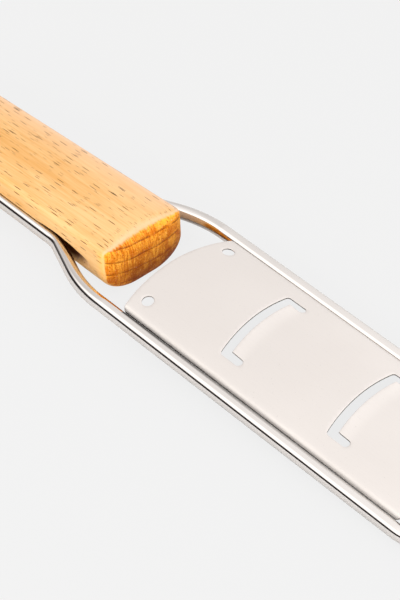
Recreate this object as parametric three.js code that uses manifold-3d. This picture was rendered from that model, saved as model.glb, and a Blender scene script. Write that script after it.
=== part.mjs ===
// Hand slicer: a beech handle held between the two legs of a bent round wire, with a thin arched
// steel plate lying on the wires in front of it. The plate has two skewed slots, each with a raised
// cutting tongue. Millimetres, +Z up. X runs from the handle to the tip, Y across.
//
// The part lies with its cutting side up. The flat land on the handle's belly and the wire's cross
// run at the tip stand on z = 0, so the plate slopes down a little towards the tip.

import * as THREE from 'three';
import * as BufferGeometryUtils from 'three/addons/utils/BufferGeometryUtils.js';
import Module from 'manifold-3d';

// ---- Driving dimensions ------------------------------------------------------------------------

const FIT_GAP = 0.3; // left between two pieces that touch

// Slicing plate
const PLATE_LENGTH = 130;
const PLATE_WIDTH = 49;
const PLATE_THICKNESS = 0.6;
const PLATE_CROWN = 3.8;
const PLATE_START = 4.5; // from the start of the straight legs to the plate's end
const END_BOW = 3.2; // how far each end bulges past its corners
const END_CORNER_RADIUS = 1.5;
const HOLE_DIAMETER = 4.1;
const HOLE_SIDE_INSET = 7; // from the plate's long edges to the holes' centres
const HOLE_SPACING = PLATE_WIDTH - 2 * HOLE_SIDE_INSET;
const HOLE_INSET = 7.6; // from the plate's end

// Slots
const SLOT_COUNT = 2;
const SLOT_START = 37.4; // from the plate's end to the first slot's rear edge
const SLOT_PITCH = 47.5;
const SLOT_SIDE_INSET = 7.6; // from the plate's long edges to the slots' arms
const SLOT_SPAN = PLATE_WIDTH - 2 * SLOT_SIDE_INSET; // across the outer edges of the two arms
const SLOT_GAP = 3.6; // between the rear edge and the cutting edge
const ARM_WIDTH = 2.7;
const ARM_LENGTH = 8.9; // from the rear edge to the arm's end
const SLOT_CORNER_RADIUS = 1; // at the ends of the rear edge
const SLOT_SKEW = 0.128; // rise of the slot along X for each millimetre across
const SLOT_BOW = 0.0055; // its curvature: X grows by this times y squared
const TONGUE_LIFT = 0.5; // of the cutting edge above the plate

// Wire frame
const WIRE_DIAMETER = 5;
const EDGE_TO_AXIS = 2; // from the plate's long edge out to the wire's axis
const WIRE_SPREAD = PLATE_WIDTH + 2 * EDGE_TO_AXIS; // between the wire axes, beside the plate
const FLARE_RUN = 24.5; // length of the slanted stretch inside the neck
const SHOULDER_RUN = 11; // from the flare's end to the start of the plate's legs
const NECK_LENGTH = FLARE_RUN + SHOULDER_RUN;
const NECK_BEND_RADIUS = 15; // of the wire's axis, where it leaves the handle
const SHOULDER_BEND_RADIUS = 52; // of the wire's axis, where the legs run straight again
const DROOP_BEND_RADIUS = 30;
const TIP_CORNER_RADIUS = 18;
const TIP_WINDOW = 13; // open length between the plate's end and the cross run of the wire
const HOOK_RADIUS = 6; // of the wire's axis, where its end turns into the wood
const HOOK_DEPTH = 9; // of the wire's end below the handle's side
const HOOK_SETBACK = 13; // of the hooks from the handle's rear end

// Handle
const HANDLE_LENGTH = 119;
const HANDLE_FRONT_WIDTH = 34.2;
const HANDLE_REAR_WIDTH = 28.6;
const HANDLE_TO_SHOULDER = 8.2; // from the front end back to the start of the straight legs
const TOP_HEIGHT = 10.2; // of the top corners above the wire axes
const TOP_CROWN = 1;
const TOP_CORNER_RADIUS = 2.6;
const SIDE_DROP = 0.4; // of the straight side below the wire axes
const BELLY_DEPTH = 9.4; // of the belly's flat land below the wire axes
const BELLY_LAND = 8;
const FRONT_NOSE = 4.8; // length of the domed front end
const REAR_NOSE = 13; // length of the rounded rear end
const GROOVE_SEAT = 2.6; // how far the wire sits inside the handle's side
const GROOVE_RUNOUT_RADIUS = 45;
const GROOVE_FRONT_STOP = 25.7; // from the front end back to the start of the groove's run-out

// ---- Derived values ----------------------------------------------------------------------------

const wireRadius = WIRE_DIAMETER / 2;
const legY = WIRE_SPREAD / 2;
const plateHalf = PLATE_WIDTH / 2;
const plateEnd = PLATE_START + PLATE_LENGTH;
const tipReach = plateEnd + TIP_WINDOW + wireRadius;
const droop = Math.asin((BELLY_DEPTH - wireRadius) / tipReach);

const handleFront = -HANDLE_TO_SHOULDER;
const handleRear = handleFront - HANDLE_LENGTH;
const tipX = tipReach * Math.cos(droop) + wireRadius;
const centreX = (handleRear + tipX) / 2;

// The plate's edges lie on the inner shoulders of the wires.
const seatDistance = wireRadius + FIT_GAP;
const edgeOffset = legY - plateHalf;
const plateEdgeZ = Math.sqrt(seatDistance ** 2 - edgeOffset ** 2) + PLATE_THICKNESS;
const archRadius = (plateHalf ** 2 + PLATE_CROWN ** 2) / (2 * PLATE_CROWN);
const archCentreZ = plateEdgeZ + PLATE_CROWN - archRadius;

function handleHalfWidth(x) {
  const share = (handleFront - x) / HANDLE_LENGTH;
  return THREE.MathUtils.lerp(HANDLE_FRONT_WIDTH, HANDLE_REAR_WIDTH, share) / 2;
}

function wireSideY(x) {
  return handleHalfWidth(x) + wireRadius - GROOVE_SEAT;
}

// ---- Solids ------------------------------------------------------------------------------------

const wasm = await Module();
wasm.setup();

function toSolid(geometry) {
  const bare = geometry.index ? geometry.toNonIndexed() : geometry.clone();
  bare.deleteAttribute('normal');
  bare.deleteAttribute('uv');
  const merged = BufferGeometryUtils.mergeVertices(bare, 1e-4);
  return new wasm.Manifold(new wasm.Mesh({
    numProp: 3,
    vertProperties: new Float32Array(merged.attributes.position.array),
    triVerts: new Uint32Array(merged.index.array),
  }));
}

function toGeometry(solid) {
  const mesh = solid.getMesh();
  const geometry = new THREE.BufferGeometry();
  geometry.setAttribute('position', new THREE.BufferAttribute(mesh.vertProperties, 3));
  geometry.setIndex(new THREE.BufferAttribute(mesh.triVerts, 1));
  const faceted = geometry.toNonIndexed();
  faceted.computeVertexNormals();
  return faceted;
}

// A closed body through stations along X: the section shape holds (y, z), and place() says where
// each of its points goes at each station.
function loft(shape, stationCount, curveSegments, place) {
  const steps = stationCount - 1;
  const geometry = new THREE.ExtrudeGeometry(shape, {
    depth: 1,
    steps,
    curveSegments,
    bevelEnabled: false,
  });
  const position = geometry.attributes.position;
  for (let i = 0; i < position.count; i += 1) {
    const station = Math.round(position.getZ(i) * steps);
    const point = place(position.getX(i), position.getY(i), station);
    position.setXYZ(i, point.x, point.y, point.z);
  }
  return geometry;
}

// A vertical prism of a plan outline in (x, y), tall enough to pass through the plate.
function planPrism(shape, curveSegments = 12) {
  const height = 4 * (PLATE_CROWN + WIRE_DIAMETER);
  const geometry = new THREE.ExtrudeGeometry(shape, {
    depth: height,
    curveSegments,
    bevelEnabled: false,
  });
  return geometry.translate(0, 0, -height / 2);
}

// ---- Bent wire ---------------------------------------------------------------------------------

// A curve through given points, one station at each, however far apart they are.
class StationCurve extends THREE.Curve {
  constructor(points) {
    super();
    this.points = points;
  }

  getPoint(t, target = new THREE.Vector3()) {
    const place = t * (this.points.length - 1);
    const index = Math.min(Math.floor(place), this.points.length - 2);
    return target.lerpVectors(this.points[index], this.points[index + 1], place - index);
  }

  getUtoTmapping(u) {
    return u;
  }
}

// The points of a path with straight runs and a round bend at each inner corner.
function bentPath(corners) {
  const points = [corners[0].at];
  for (let i = 1; i < corners.length - 1; i += 1) {
    const { at, radius, segments } = corners[i];
    const towardsLast = new THREE.Vector3().subVectors(corners[i - 1].at, at).normalize();
    const towardsNext = new THREE.Vector3().subVectors(corners[i + 1].at, at).normalize();
    const halfAngle = towardsLast.angleTo(towardsNext) / 2;
    const bisector = new THREE.Vector3().addVectors(towardsLast, towardsNext).normalize();
    const centre = at.clone().addScaledVector(bisector, radius / Math.sin(halfAngle));
    const tangentLength = radius / Math.tan(halfAngle);
    const start = at.clone().addScaledVector(towardsLast, tangentLength).sub(centre);
    const turn = Math.PI - 2 * halfAngle;
    const axis = new THREE.Vector3().crossVectors(towardsNext, towardsLast).normalize();
    for (let k = 0; k <= segments; k += 1) {
      const spoke = start.clone().applyAxisAngle(axis, (turn * k) / segments);
      points.push(spoke.add(centre));
    }
  }
  points.push(corners[corners.length - 1].at);
  return points;
}

function roundSection(radius) {
  const shape = new THREE.Shape();
  shape.absarc(0, 0, radius, 0, 2 * Math.PI, false);
  return shape;
}

const WIRE_SIDES = 16;

function tubeAlong(points, radius) {
  return new THREE.ExtrudeGeometry(roundSection(radius), {
    steps: points.length - 1,
    curveSegments: WIRE_SIDES / 2,
    bevelEnabled: false,
    extrudePath: new StationCurve(points),
  });
}

// From the shoulder on, the wires and the plate lie in one plane that droops towards the tip.
function onPlatePlane(x, y, z) {
  return new THREE.Vector3(
    x * Math.cos(droop) + z * Math.sin(droop),
    y,
    z * Math.cos(droop) - x * Math.sin(droop),
  );
}

// One leg, from the hooked end in the handle to the corner at the tip; side is +1 or -1. A bend at
// the shoulder that its run has no room for is made tighter. The hole for it ends a gap deeper.
function legCorners(side, endGap = 0) {
  const hookX = handleRear + HOOK_SETBACK;
  const neckX = -NECK_LENGTH;
  const flareAngle = Math.atan2(legY - wireSideY(neckX), FLARE_RUN);
  const droopTangent = DROOP_BEND_RADIUS * Math.tan(droop / 2);
  const shoulderLimit = (SHOULDER_RUN - droopTangent) / Math.tan(flareAngle / 2);
  const shoulderRadius = Math.min(SHOULDER_BEND_RADIUS, shoulderLimit);
  const hookEnd = handleHalfWidth(hookX) - HOOK_DEPTH - endGap;
  return [
    { at: new THREE.Vector3(hookX, side * hookEnd, 0) },
    { at: new THREE.Vector3(hookX, side * wireSideY(hookX), 0), radius: HOOK_RADIUS, segments: 6 },
    { at: new THREE.Vector3(neckX, side * wireSideY(neckX), 0), radius: NECK_BEND_RADIUS, segments: 4 },
    { at: new THREE.Vector3(neckX + FLARE_RUN, side * legY, 0), radius: shoulderRadius, segments: 5 },
    { at: new THREE.Vector3(0, side * legY, 0), radius: DROOP_BEND_RADIUS, segments: 2 },
    { at: onPlatePlane(tipReach, side * legY, 0), radius: TIP_CORNER_RADIUS, segments: 9 },
  ];
}

function makeWireFrame() {
  const corners = [...legCorners(1), ...legCorners(-1).reverse()];
  return tubeAlong(bentPath(corners), wireRadius);
}

// ---- Handle ------------------------------------------------------------------------------------

function handleSection(halfWidth) {
  const land = BELLY_LAND / 2;
  const inner = halfWidth - TOP_CORNER_RADIUS;
  const cornerZ = TOP_HEIGHT - TOP_CORNER_RADIUS;
  const bellyDrop = BELLY_DEPTH - SIDE_DROP;
  const shape = new THREE.Shape();
  shape.moveTo(-land, -BELLY_DEPTH);
  shape.lineTo(land, -BELLY_DEPTH);
  shape.absellipse(land, -SIDE_DROP, halfWidth - land, bellyDrop, -Math.PI / 2, 0, false, 0);
  shape.lineTo(halfWidth, cornerZ);
  shape.absarc(inner, cornerZ, TOP_CORNER_RADIUS, 0, Math.PI / 2, false);
  shape.quadraticCurveTo(0, TOP_HEIGHT + 2 * TOP_CROWN, -inner, TOP_HEIGHT);
  shape.absarc(-inner, cornerZ, TOP_CORNER_RADIUS, Math.PI / 2, Math.PI, false);
  shape.lineTo(-halfWidth, -SIDE_DROP);
  shape.absellipse(-land, -SIDE_DROP, halfWidth - land, bellyDrop, Math.PI, 1.5 * Math.PI, false, 0);
  return shape;
}

// Stations of a rounded end: each has a scale of the section and a share of the end's length.
function noseStations(count, fullness) {
  const stations = [];
  for (let i = 0; i < count; i += 1) {
    const angle = (0.96 * (Math.PI / 2) * i) / (count - 1);
    stations.push({
      scale: Math.cos(angle) ** (2 / fullness),
      reach: Math.sin(angle) ** (2 / fullness),
    });
  }
  return stations;
}

const FRONT_FULLNESS = 3.8;
const REAR_FULLNESS = 2.6;
const NOSE_STATIONS = 8;
const SECTION_SEGMENTS = 4;

// The groove is straight along the side, then runs out through it on an arc.
function grooveCorners(side) {
  const stopX = handleFront - GROOVE_FRONT_STOP;
  const runout = Math.sqrt(2 * GROOVE_RUNOUT_RADIUS * (GROOVE_SEAT + FIT_GAP));
  const endX = stopX + 2 * runout;
  const endY = wireSideY(stopX) + 2 * (GROOVE_SEAT + FIT_GAP);
  const corners = legCorners(side, FIT_GAP).slice(0, 2);
  corners.push({
    at: new THREE.Vector3(stopX + runout / 2, side * wireSideY(stopX + runout / 2), 0),
    radius: GROOVE_RUNOUT_RADIUS,
    segments: 5,
  });
  corners.push({ at: new THREE.Vector3(endX, side * endY, 0) });
  return corners;
}

function makeHandle() {
  const rear = noseStations(NOSE_STATIONS, REAR_FULLNESS).reverse()
    .map(({ scale, reach }) => ({ scale, x: handleRear + REAR_NOSE * (1 - reach) }));
  const front = noseStations(NOSE_STATIONS, FRONT_FULLNESS)
    .map(({ scale, reach }) => ({ scale, x: handleFront - FRONT_NOSE * (1 - reach) }));
  const stations = [...rear, ...front];
  const middleZ = (TOP_HEIGHT - BELLY_DEPTH) / 2;
  const blank = loft(handleSection(HANDLE_FRONT_WIDTH / 2), stations.length, SECTION_SEGMENTS, (y, z, i) => {
    const { scale, x } = stations[i];
    const widthShare = handleHalfWidth(x) / (HANDLE_FRONT_WIDTH / 2);
    return new THREE.Vector3(x, y * scale * widthShare, middleZ + (z - middleZ) * scale);
  });
  const cutterRadius = (wireRadius + FIT_GAP) / Math.cos(Math.PI / WIRE_SIDES);
  let solid = toSolid(blank);
  for (const side of [1, -1]) {
    solid = solid.subtract(toSolid(tubeAlong(bentPath(grooveCorners(side)), cutterRadius)));
    solid = solid.subtract(toSolid(tubeAlong(bentPath(legCorners(side, FIT_GAP)), cutterRadius)));
  }
  return toGeometry(solid);
}

// ---- Slicing plate -----------------------------------------------------------------------------

const armOuter = SLOT_SPAN / 2;
const armInner = armOuter - ARM_WIDTH;
const slotCurve = (y) => SLOT_BOW * y * y - SLOT_SKEW * y;
const slotRears = Array.from({ length: SLOT_COUNT }, (_, i) => PLATE_START + SLOT_START + i * SLOT_PITCH);

// The arched sheet's section in (y, z). Its bands meet inside the slots' arms, where the lift of
// the tongues begins.
function archSection() {
  const inset = ARM_WIDTH / 4;
  const right = [armInner + inset, armOuter - inset, plateHalf];
  const bands = [...right.map((y) => -y).reverse(), ...right];
  const shape = new THREE.Shape();
  const angleAt = (y, radius) => Math.acos(y / radius);
  const innerRadius = archRadius - PLATE_THICKNESS;
  for (let i = bands.length - 1; i > 0; i -= 1) {
    const from = angleAt(bands[i], archRadius);
    const to = angleAt(bands[i - 1], archRadius);
    shape.absarc(0, archCentreZ, archRadius, from, to, false);
  }
  for (let i = 0; i < bands.length - 1; i += 1) {
    const from = angleAt(bands[i], archRadius);
    const to = angleAt(bands[i + 1], archRadius);
    shape.absarc(0, archCentreZ, innerRadius, from, to, true);
  }
  return shape;
}

// How far a round corner pulls an edge back, at y on an edge that reaches halfWidth each way.
function cornerClip(y, halfWidth, radius) {
  const past = Math.max(0, Math.abs(y) - (halfWidth - radius));
  return radius - Math.sqrt(radius ** 2 - past ** 2);
}

// Places across an edge, closer together towards its corners.
function acrossEdge(halfWidth, steps) {
  return Array.from({ length: steps + 1 }, (_, i) => halfWidth * Math.sin((i / steps - 0.5) * Math.PI));
}

// Both ends of the sheet are bowed outwards and have small round corners.
function plateOutline() {
  const bowRadius = (plateHalf ** 2 + END_BOW ** 2) / (2 * END_BOW);
  const points = [];
  for (const end of [1, -1]) {
    for (const across of acrossEdge(plateHalf, 18)) {
      const bow = bowRadius - Math.sqrt(bowRadius ** 2 - across ** 2);
      const clip = cornerClip(across, plateHalf, END_CORNER_RADIUS);
      const x = end > 0 ? plateEnd - bow - clip : PLATE_START + bow + clip;
      points.push(new THREE.Vector2(x, end * across));
    }
  }
  return new THREE.Shape(points);
}

// A bracket-shaped slot: the rear edge, and an arm at each end that reaches towards the tip.
function slotOutline(rearX) {
  const armEnd = ARM_WIDTH / 2;
  const points = [];
  for (const across of acrossEdge(armOuter, 14)) {
    const clip = cornerClip(across, armOuter, SLOT_CORNER_RADIUS);
    points.push(new THREE.Vector2(rearX + slotCurve(-across) + clip, -across));
  }
  const addArmEnd = (middleY) => {
    const roundX = rearX + slotCurve(middleY) + ARM_LENGTH - armEnd;
    for (let i = 0; i <= 6; i += 1) {
      const angle = (Math.PI * i) / 6 - Math.PI / 2;
      points.push(new THREE.Vector2(roundX + armEnd * Math.cos(angle), middleY + armEnd * Math.sin(angle)));
    }
  };
  addArmEnd(-(armInner + armOuter) / 2);
  for (const across of acrossEdge(armInner, 10)) {
    points.push(new THREE.Vector2(rearX + slotCurve(across) + SLOT_GAP, across));
  }
  addArmEnd((armInner + armOuter) / 2);
  return new THREE.Shape(points);
}

// The sheet is flat along X but for the tongues: each rises from its root to its cutting edge.
function makePlate() {
  const edgeInGap = SLOT_GAP / 4;
  const stations = [{ x: PLATE_START - END_BOW, lift: 0, follows: 0 }];
  for (const rearX of slotRears) {
    stations.push({ x: rearX + edgeInGap, lift: 0, follows: 1 });
    stations.push({ x: rearX + SLOT_GAP - edgeInGap, lift: TONGUE_LIFT, follows: 1 });
    stations.push({ x: rearX + ARM_LENGTH, lift: 0, follows: 1 });
  }
  stations.push({ x: plateEnd + END_BOW, lift: 0, follows: 0 });

  const sheet = loft(archSection(), stations.length, 5, (y, z, i) => {
    const { x, lift, follows } = stations[i];
    const onTongue = Math.abs(y) < (armInner + armOuter) / 2 ? 1 : 0;
    return new THREE.Vector3(x + follows * slotCurve(y), y, z + lift * onTongue);
  });
  let solid = toSolid(sheet).intersect(toSolid(planPrism(plateOutline())));
  for (const rearX of slotRears) {
    solid = solid.subtract(toSolid(planPrism(slotOutline(rearX))));
  }
  for (const side of [1, -1]) {
    const hole = new THREE.Shape();
    hole.absarc(PLATE_START + HOLE_INSET, (side * HOLE_SPACING) / 2, HOLE_DIAMETER / 2, 0, 2 * Math.PI);
    solid = solid.subtract(toSolid(planPrism(hole, 20)));
  }
  return toGeometry(solid);
}

// ---- Assembly ----------------------------------------------------------------------------------

const beech = new THREE.MeshStandardMaterial({ color: 0xe0a868, roughness: 0.5, metalness: 0 });
const polishedSteel = new THREE.MeshStandardMaterial({ color: 0xd8d6d4, roughness: 0.12, metalness: 1 });
const satinSteel = new THREE.MeshStandardMaterial({ color: 0xe4dfdb, roughness: 0.38, metalness: 1 });

function node(name, geometry, material) {
  const mesh = new THREE.Mesh(geometry, material);
  mesh.name = name;
  return mesh;
}

const slicer = new THREE.Group();
slicer.position.set(-centreX, 0, BELLY_DEPTH);
slicer.add(node('handle', makeHandle(), beech));
slicer.add(node('wire_frame', makeWireFrame(), polishedSteel));

const drooping = new THREE.Group();
drooping.rotation.y = droop;
drooping.add(node('slicing_plate', makePlate(), satinSteel));
slicer.add(drooping);

export default slicer;
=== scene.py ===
import math

import bmesh
import bpy
import numpy as np
from bpy.props import FloatProperty, FloatVectorProperty, IntProperty, PointerProperty
from mathutils import Matrix, Vector
from mathutils.geometry import delaunay_2d_cdt


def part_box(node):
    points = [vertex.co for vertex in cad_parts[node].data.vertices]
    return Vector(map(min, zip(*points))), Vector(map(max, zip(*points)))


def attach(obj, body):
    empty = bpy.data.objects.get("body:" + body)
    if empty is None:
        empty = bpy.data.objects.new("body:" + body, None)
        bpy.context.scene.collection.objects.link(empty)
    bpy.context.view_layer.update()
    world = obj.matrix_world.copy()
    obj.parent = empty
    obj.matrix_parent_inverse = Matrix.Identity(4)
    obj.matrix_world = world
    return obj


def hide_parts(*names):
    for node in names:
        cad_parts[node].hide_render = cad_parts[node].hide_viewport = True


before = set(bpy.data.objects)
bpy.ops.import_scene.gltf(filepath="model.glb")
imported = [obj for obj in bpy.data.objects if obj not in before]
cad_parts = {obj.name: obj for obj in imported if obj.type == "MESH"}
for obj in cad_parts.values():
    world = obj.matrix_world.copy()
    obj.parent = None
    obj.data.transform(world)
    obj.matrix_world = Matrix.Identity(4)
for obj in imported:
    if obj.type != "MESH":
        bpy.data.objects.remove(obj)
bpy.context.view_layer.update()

bl_info = {
    "name": "Hand Slicer",
    "version": (1, 0, 0),
    "blender": (4, 5, 0),
    "location": "3D View > Sidebar > Slicer",
    "description": "Builds a beech-handled hand slicer around its packed frame",
    "category": "Add Mesh",
}

MM = 0.001
BODY = "root"
# Painted shade on the wire: a dark matt band under the plate's long edges stands in for the shadowed gap
# between plate and wire
GAP_SHADE_FIRST_ANGLE = 12.0  # degrees round the wire from its top towards the plate
GAP_SHADE_LAST_ANGLE = 100.0
GAP_SHADE_NARROWING = 22.0  # how much later the painted shade begins at the tip
GAP_SHADE_FADE = 9.0
GAP_SHADE_FAR_SIDE = 34.0  # how much narrower the painted shade is on the +Y side
OIL_CREEP = 7.0 * MM  # how far the oil creeps from the front end into the sides
HANDLE_LOW, HANDLE_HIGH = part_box("handle")
WIRE_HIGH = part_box("wire_frame")[1]

# Points along each stretch of an outline
GROOVE_POINTS = 79
PLATE_END_STEPS = 72
PLATE_SIDE_POINTS = 90
SLOT_REAR_STEPS = 60
CUTTING_EDGE_POINTS = 50
ARM_END_POINTS = 15
HOLE_STEPS = 48
RIM_POINTS = 5


# ---- Sizes and colours -------------------------------------------------------------------------


def length(name, description, millimetres):
    """A length property that is stated here in millimetres and held in metres."""
    return FloatProperty(
        name=name, description=description, default=millimetres * MM, subtype="DISTANCE", unit="LENGTH"
    )


def colour(name, description, rgb):
    return FloatVectorProperty(
        name=name, description=description, default=rgb, subtype="COLOR", size=3, min=0.0, max=1.0
    )


def share(name, description, default):
    return FloatProperty(
        name=name, description=description, default=default, min=0.0, max=1.0, subtype="FACTOR"
    )


def turn(name, description, degrees):
    """An angle property that is stated here in degrees and held in radians."""
    return FloatProperty(
        name=name, description=description, default=math.radians(degrees), subtype="ANGLE", unit="ROTATION"
    )


def whole(name, description, default, low, high):
    return IntProperty(name=name, description=description, default=default, min=low, max=high)


def plain(name, description, default):
    return FloatProperty(name=name, description=description, default=default)


class SLICER_PG_wire(bpy.types.PropertyGroup):
    """Sizes of the bent wire."""

    diameter: length("Diameter", "Diameter of the round wire", 5.0)
    neck_length: length("Neck", "From the bend beside the handle to the straight legs", 35.5)
    flare_run: length("Flare", "Length of the slanted stretch in the neck", 24.5)
    neck_radius: length("Neck Bend", "Bend radius where the wire leaves the handle", 15.0)
    shoulder_radius: length("Shoulder Bend", "Bend radius where the legs run straight", 51.0)
    tip_radius: length("Tip Corner", "Bend radius of the corners at the tip", 18.0)
    tip_window: length("Tip Window", "Open length between the plate and the cross run", 13.0)
    hook_radius: length("Hook Bend", "Bend radius of the hooks in the handle", 6.0)
    hook_depth: length("Hook Depth", "Depth of the hooks in the wood", 9.0)
    hook_setback: length("Hook Setback", "From the handle's rear end to the hooks", 13.0)
    droop_radius: length("Droop Bend", "Bend radius where the legs start to droop", 30.0)
    fit_gap: length("Fit Gap", "Clearance between the wire and its neighbours", 0.3)
    sides: whole("Sides", "Facets round the wire", 40, 8, 96)
    bend_steps: whole("Bend Steps", "Points along each bend", 24, 4, 64)


class SLICER_PG_handle(bpy.types.PropertyGroup):
    """Sizes of the beech handle."""

    front_width: length("Front Width", "Width at the front end", 34.2)
    rear_width: length("Rear Width", "Width at the rear end", 28.6)
    shoulder_gap: length("Shoulder Gap", "From the front end to the straight legs", 8.2)
    top_height: length("Top", "Height of the top corners above the wire", 10.2)
    top_crown: length("Crown", "Rise of the top's middle", 1.0)
    top_radius: length("Top Corner", "Radius of the top corners", 2.6)
    side_drop: length("Side Drop", "Straight side below the wire", 0.4)
    belly_land: length("Belly Land", "Width of the flat on the belly", 8.0)
    front_nose: length("Front Nose", "Length of the domed front", 4.8)
    front_fullness: plain("Front Fullness", "Squareness of the front", 3.8)
    ease_length: length("Ease Length", "Length over which the top eases down to the front", 6.5)
    ease_depth: length("Ease Depth", "Depth of that easing in the middle of the top", 2.3)
    rear_nose: length("Rear Nose", "Length of the rounded rear", 13.0)
    rear_fullness: plain("Rear Fullness", "Squareness of the rear", 2.6)
    groove_seat: length("Groove Seat", "How far the wire sits inside the side", 2.6)
    groove_stop: length("Groove Stop", "From the front end to the groove's run-out", 25.7)
    pocket_depth: length("Pocket Depth", "Extra depth of the groove where the wire leaves it", 1.8)
    pocket_rise: length("Pocket Rise", "Extra radius of the groove there", 0.9)
    pocket_reach: length("Pocket Reach", "Length of that pocket to each side", 10.0)
    pocket_shift: length("Pocket Shift", "From the groove's run-out back to the pocket's middle", 1.5)
    runout_radius: length("Run-out Radius", "Radius of the groove's run-out", 45.0)


class SLICER_PG_plate(bpy.types.PropertyGroup):
    """Sizes of the slicing plate."""

    length: length("Length", "Length over the bowed ends", 130.0)
    width: length("Width", "Width across the wires", 49.0)
    thickness: length("Thickness", "Thickness of the sheet", 0.6)
    crown: length("Crown", "Rise of the arch over its edges", 3.8)
    start: length("Start", "From the start of the legs to the plate", 4.5)
    end_bow: length("End Bow", "How far the ends bulge past their corners", 3.2)
    corner: length("Corner", "Radius of the plate's corners", 1.5)
    hole: length("Hole", "Diameter of the small holes", 4.1)
    hole_spacing: length("Hole Spacing", "Between the holes' centres", 35.0)
    hole_inset: length("Hole Inset", "From the plate's end to the holes", 7.6)
    slot_start: length("Slot Start", "From the plate's end to the first slot", 37.4)
    slot_pitch: length("Slot Pitch", "Between the slots", 47.5)
    slot_span: length("Slot Span", "Across the outer edges of the arms", 33.8)
    slot_gap: length("Slot Gap", "Between the rear edge and the cutting edge", 3.6)
    arm_width: length("Arm Width", "Width of the slot's arms", 2.7)
    arm_length: length("Arm Length", "From the rear edge to the arms' ends", 8.9)
    slot_corner: length("Slot Corner", "Radius of the rear edge's corners", 1.0)
    tongue_lift: length("Tongue Lift", "Height of the cutting edge above the plate", 0.35)
    rim_round: length("Rim Round", "Radius of the deburred rim", 0.14)
    edge_roll: length("Edge Roll", "Width of the rolled long edges", 1.7)
    roll_drop: length("Roll Drop", "How far the rolled edges drop", 0.86)
    roll_inward: length("Roll Inward", "How far the rolled edges turn inwards", 0.2)
    # Painted shade: the dark margin underneath stands in for the shadow under the plate's edges, so the
    # wire reflects dark there
    seat_margin: length("Seat Margin", "Width of the dark margin underneath, over the wires", 3.5)
    slot_count: whole("Slots", "Number of slots", 2, 1, 4)
    slot_skew: plain("Slot Skew", "Rise along X for each length across", 0.128)
    slot_bow: plain("Slot Bow", "Curvature of the slot, per millimetre", 0.0055)


class SLICER_PG_finish(bpy.types.PropertyGroup):
    """Colours and finishes."""

    wood_light: colour("Pale Wood", "Early wood of the beech", (0.63, 0.388, 0.176))
    wood_dark: colour("Deep Wood", "Late wood of the beech", (0.535, 0.275, 0.084))
    # Painted sheen: this pale colour lightens the front arris and the +Y side of the top, and makes the
    # glints in the end grain
    wood_sheen: colour("Worn Wood", "Wood rubbed pale along its edges", (0.655, 0.435, 0.285))
    end_grain: colour("End Grain", "Oiled end grain", (0.56, 0.12, 0.0))
    end_bright: colour("Bright End", "Rays in the end grain", (1.0, 0.45, 0.045))
    # Painted shade as well as colour: this deep tone colours the rings' lines and the pores, and darkens
    # the end grain's lower half and the grooves as painted shade
    end_dark_and_shade: colour("Soaked End", "End grain that has drunk the oil", (0.22, 0.04, 0.0))
    fleck: colour("Fleck", "Ray flecks along the grain", (0.03, 0.012, 0.0))
    wire: colour("Wire", "Polished stainless wire", (0.70, 0.665, 0.64))
    plate: colour("Plate", "Satin stainless sheet", (0.735, 0.692, 0.662))
    # Painted shade as well as colour: this near-black darkens the plate's outer rim, its margin underneath
    # and the band on the wire below it, for the shadowed gap there; it also colours the plate's specks
    rim: colour("Rim", "Sheared rim of the sheet", (0.022, 0.015, 0.012))
    floor: colour("Floor", "Pale studio floor", (0.86, 0.86, 0.86))
    wood_roughness: share("Wood Roughness", "Roughness of the oiled wood", 0.46)
    wire_roughness: share("Wire Roughness", "Roughness of the polished wire", 0.07)
    plate_roughness: share("Plate Roughness", "Roughness of the satin sheet", 0.42)


class SLICER_PG_studio(bpy.types.PropertyGroup):
    """Camera and studio."""

    azimuth: turn("Azimuth", "Direction of the camera", 49.78)
    elevation: turn("Elevation", "Height of the camera", 40.61)
    roll: turn("Roll", "Roll of the camera", -2.8)
    distance: length("Distance", "From the camera to its target", 801.5)
    target: FloatVectorProperty(
        name="Target", description="Point that the camera looks at", default=(0.00821, -0.00285, 0.010),
        subtype="TRANSLATION", unit="LENGTH",
    )
    lens: FloatProperty(name="Lens", description="Focal length in millimetres", default=149.36, min=10.0)


class SLICER_PG_settings(bpy.types.PropertyGroup):
    """All settings of the slicer."""

    wire: PointerProperty(type=SLICER_PG_wire)
    handle: PointerProperty(type=SLICER_PG_handle)
    plate: PointerProperty(type=SLICER_PG_plate)
    finish: PointerProperty(type=SLICER_PG_finish)
    studio: PointerProperty(type=SLICER_PG_studio)


def settings():
    return bpy.context.scene.hand_slicer


# ---- Layout that the pieces share --------------------------------------------------------------


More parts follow.
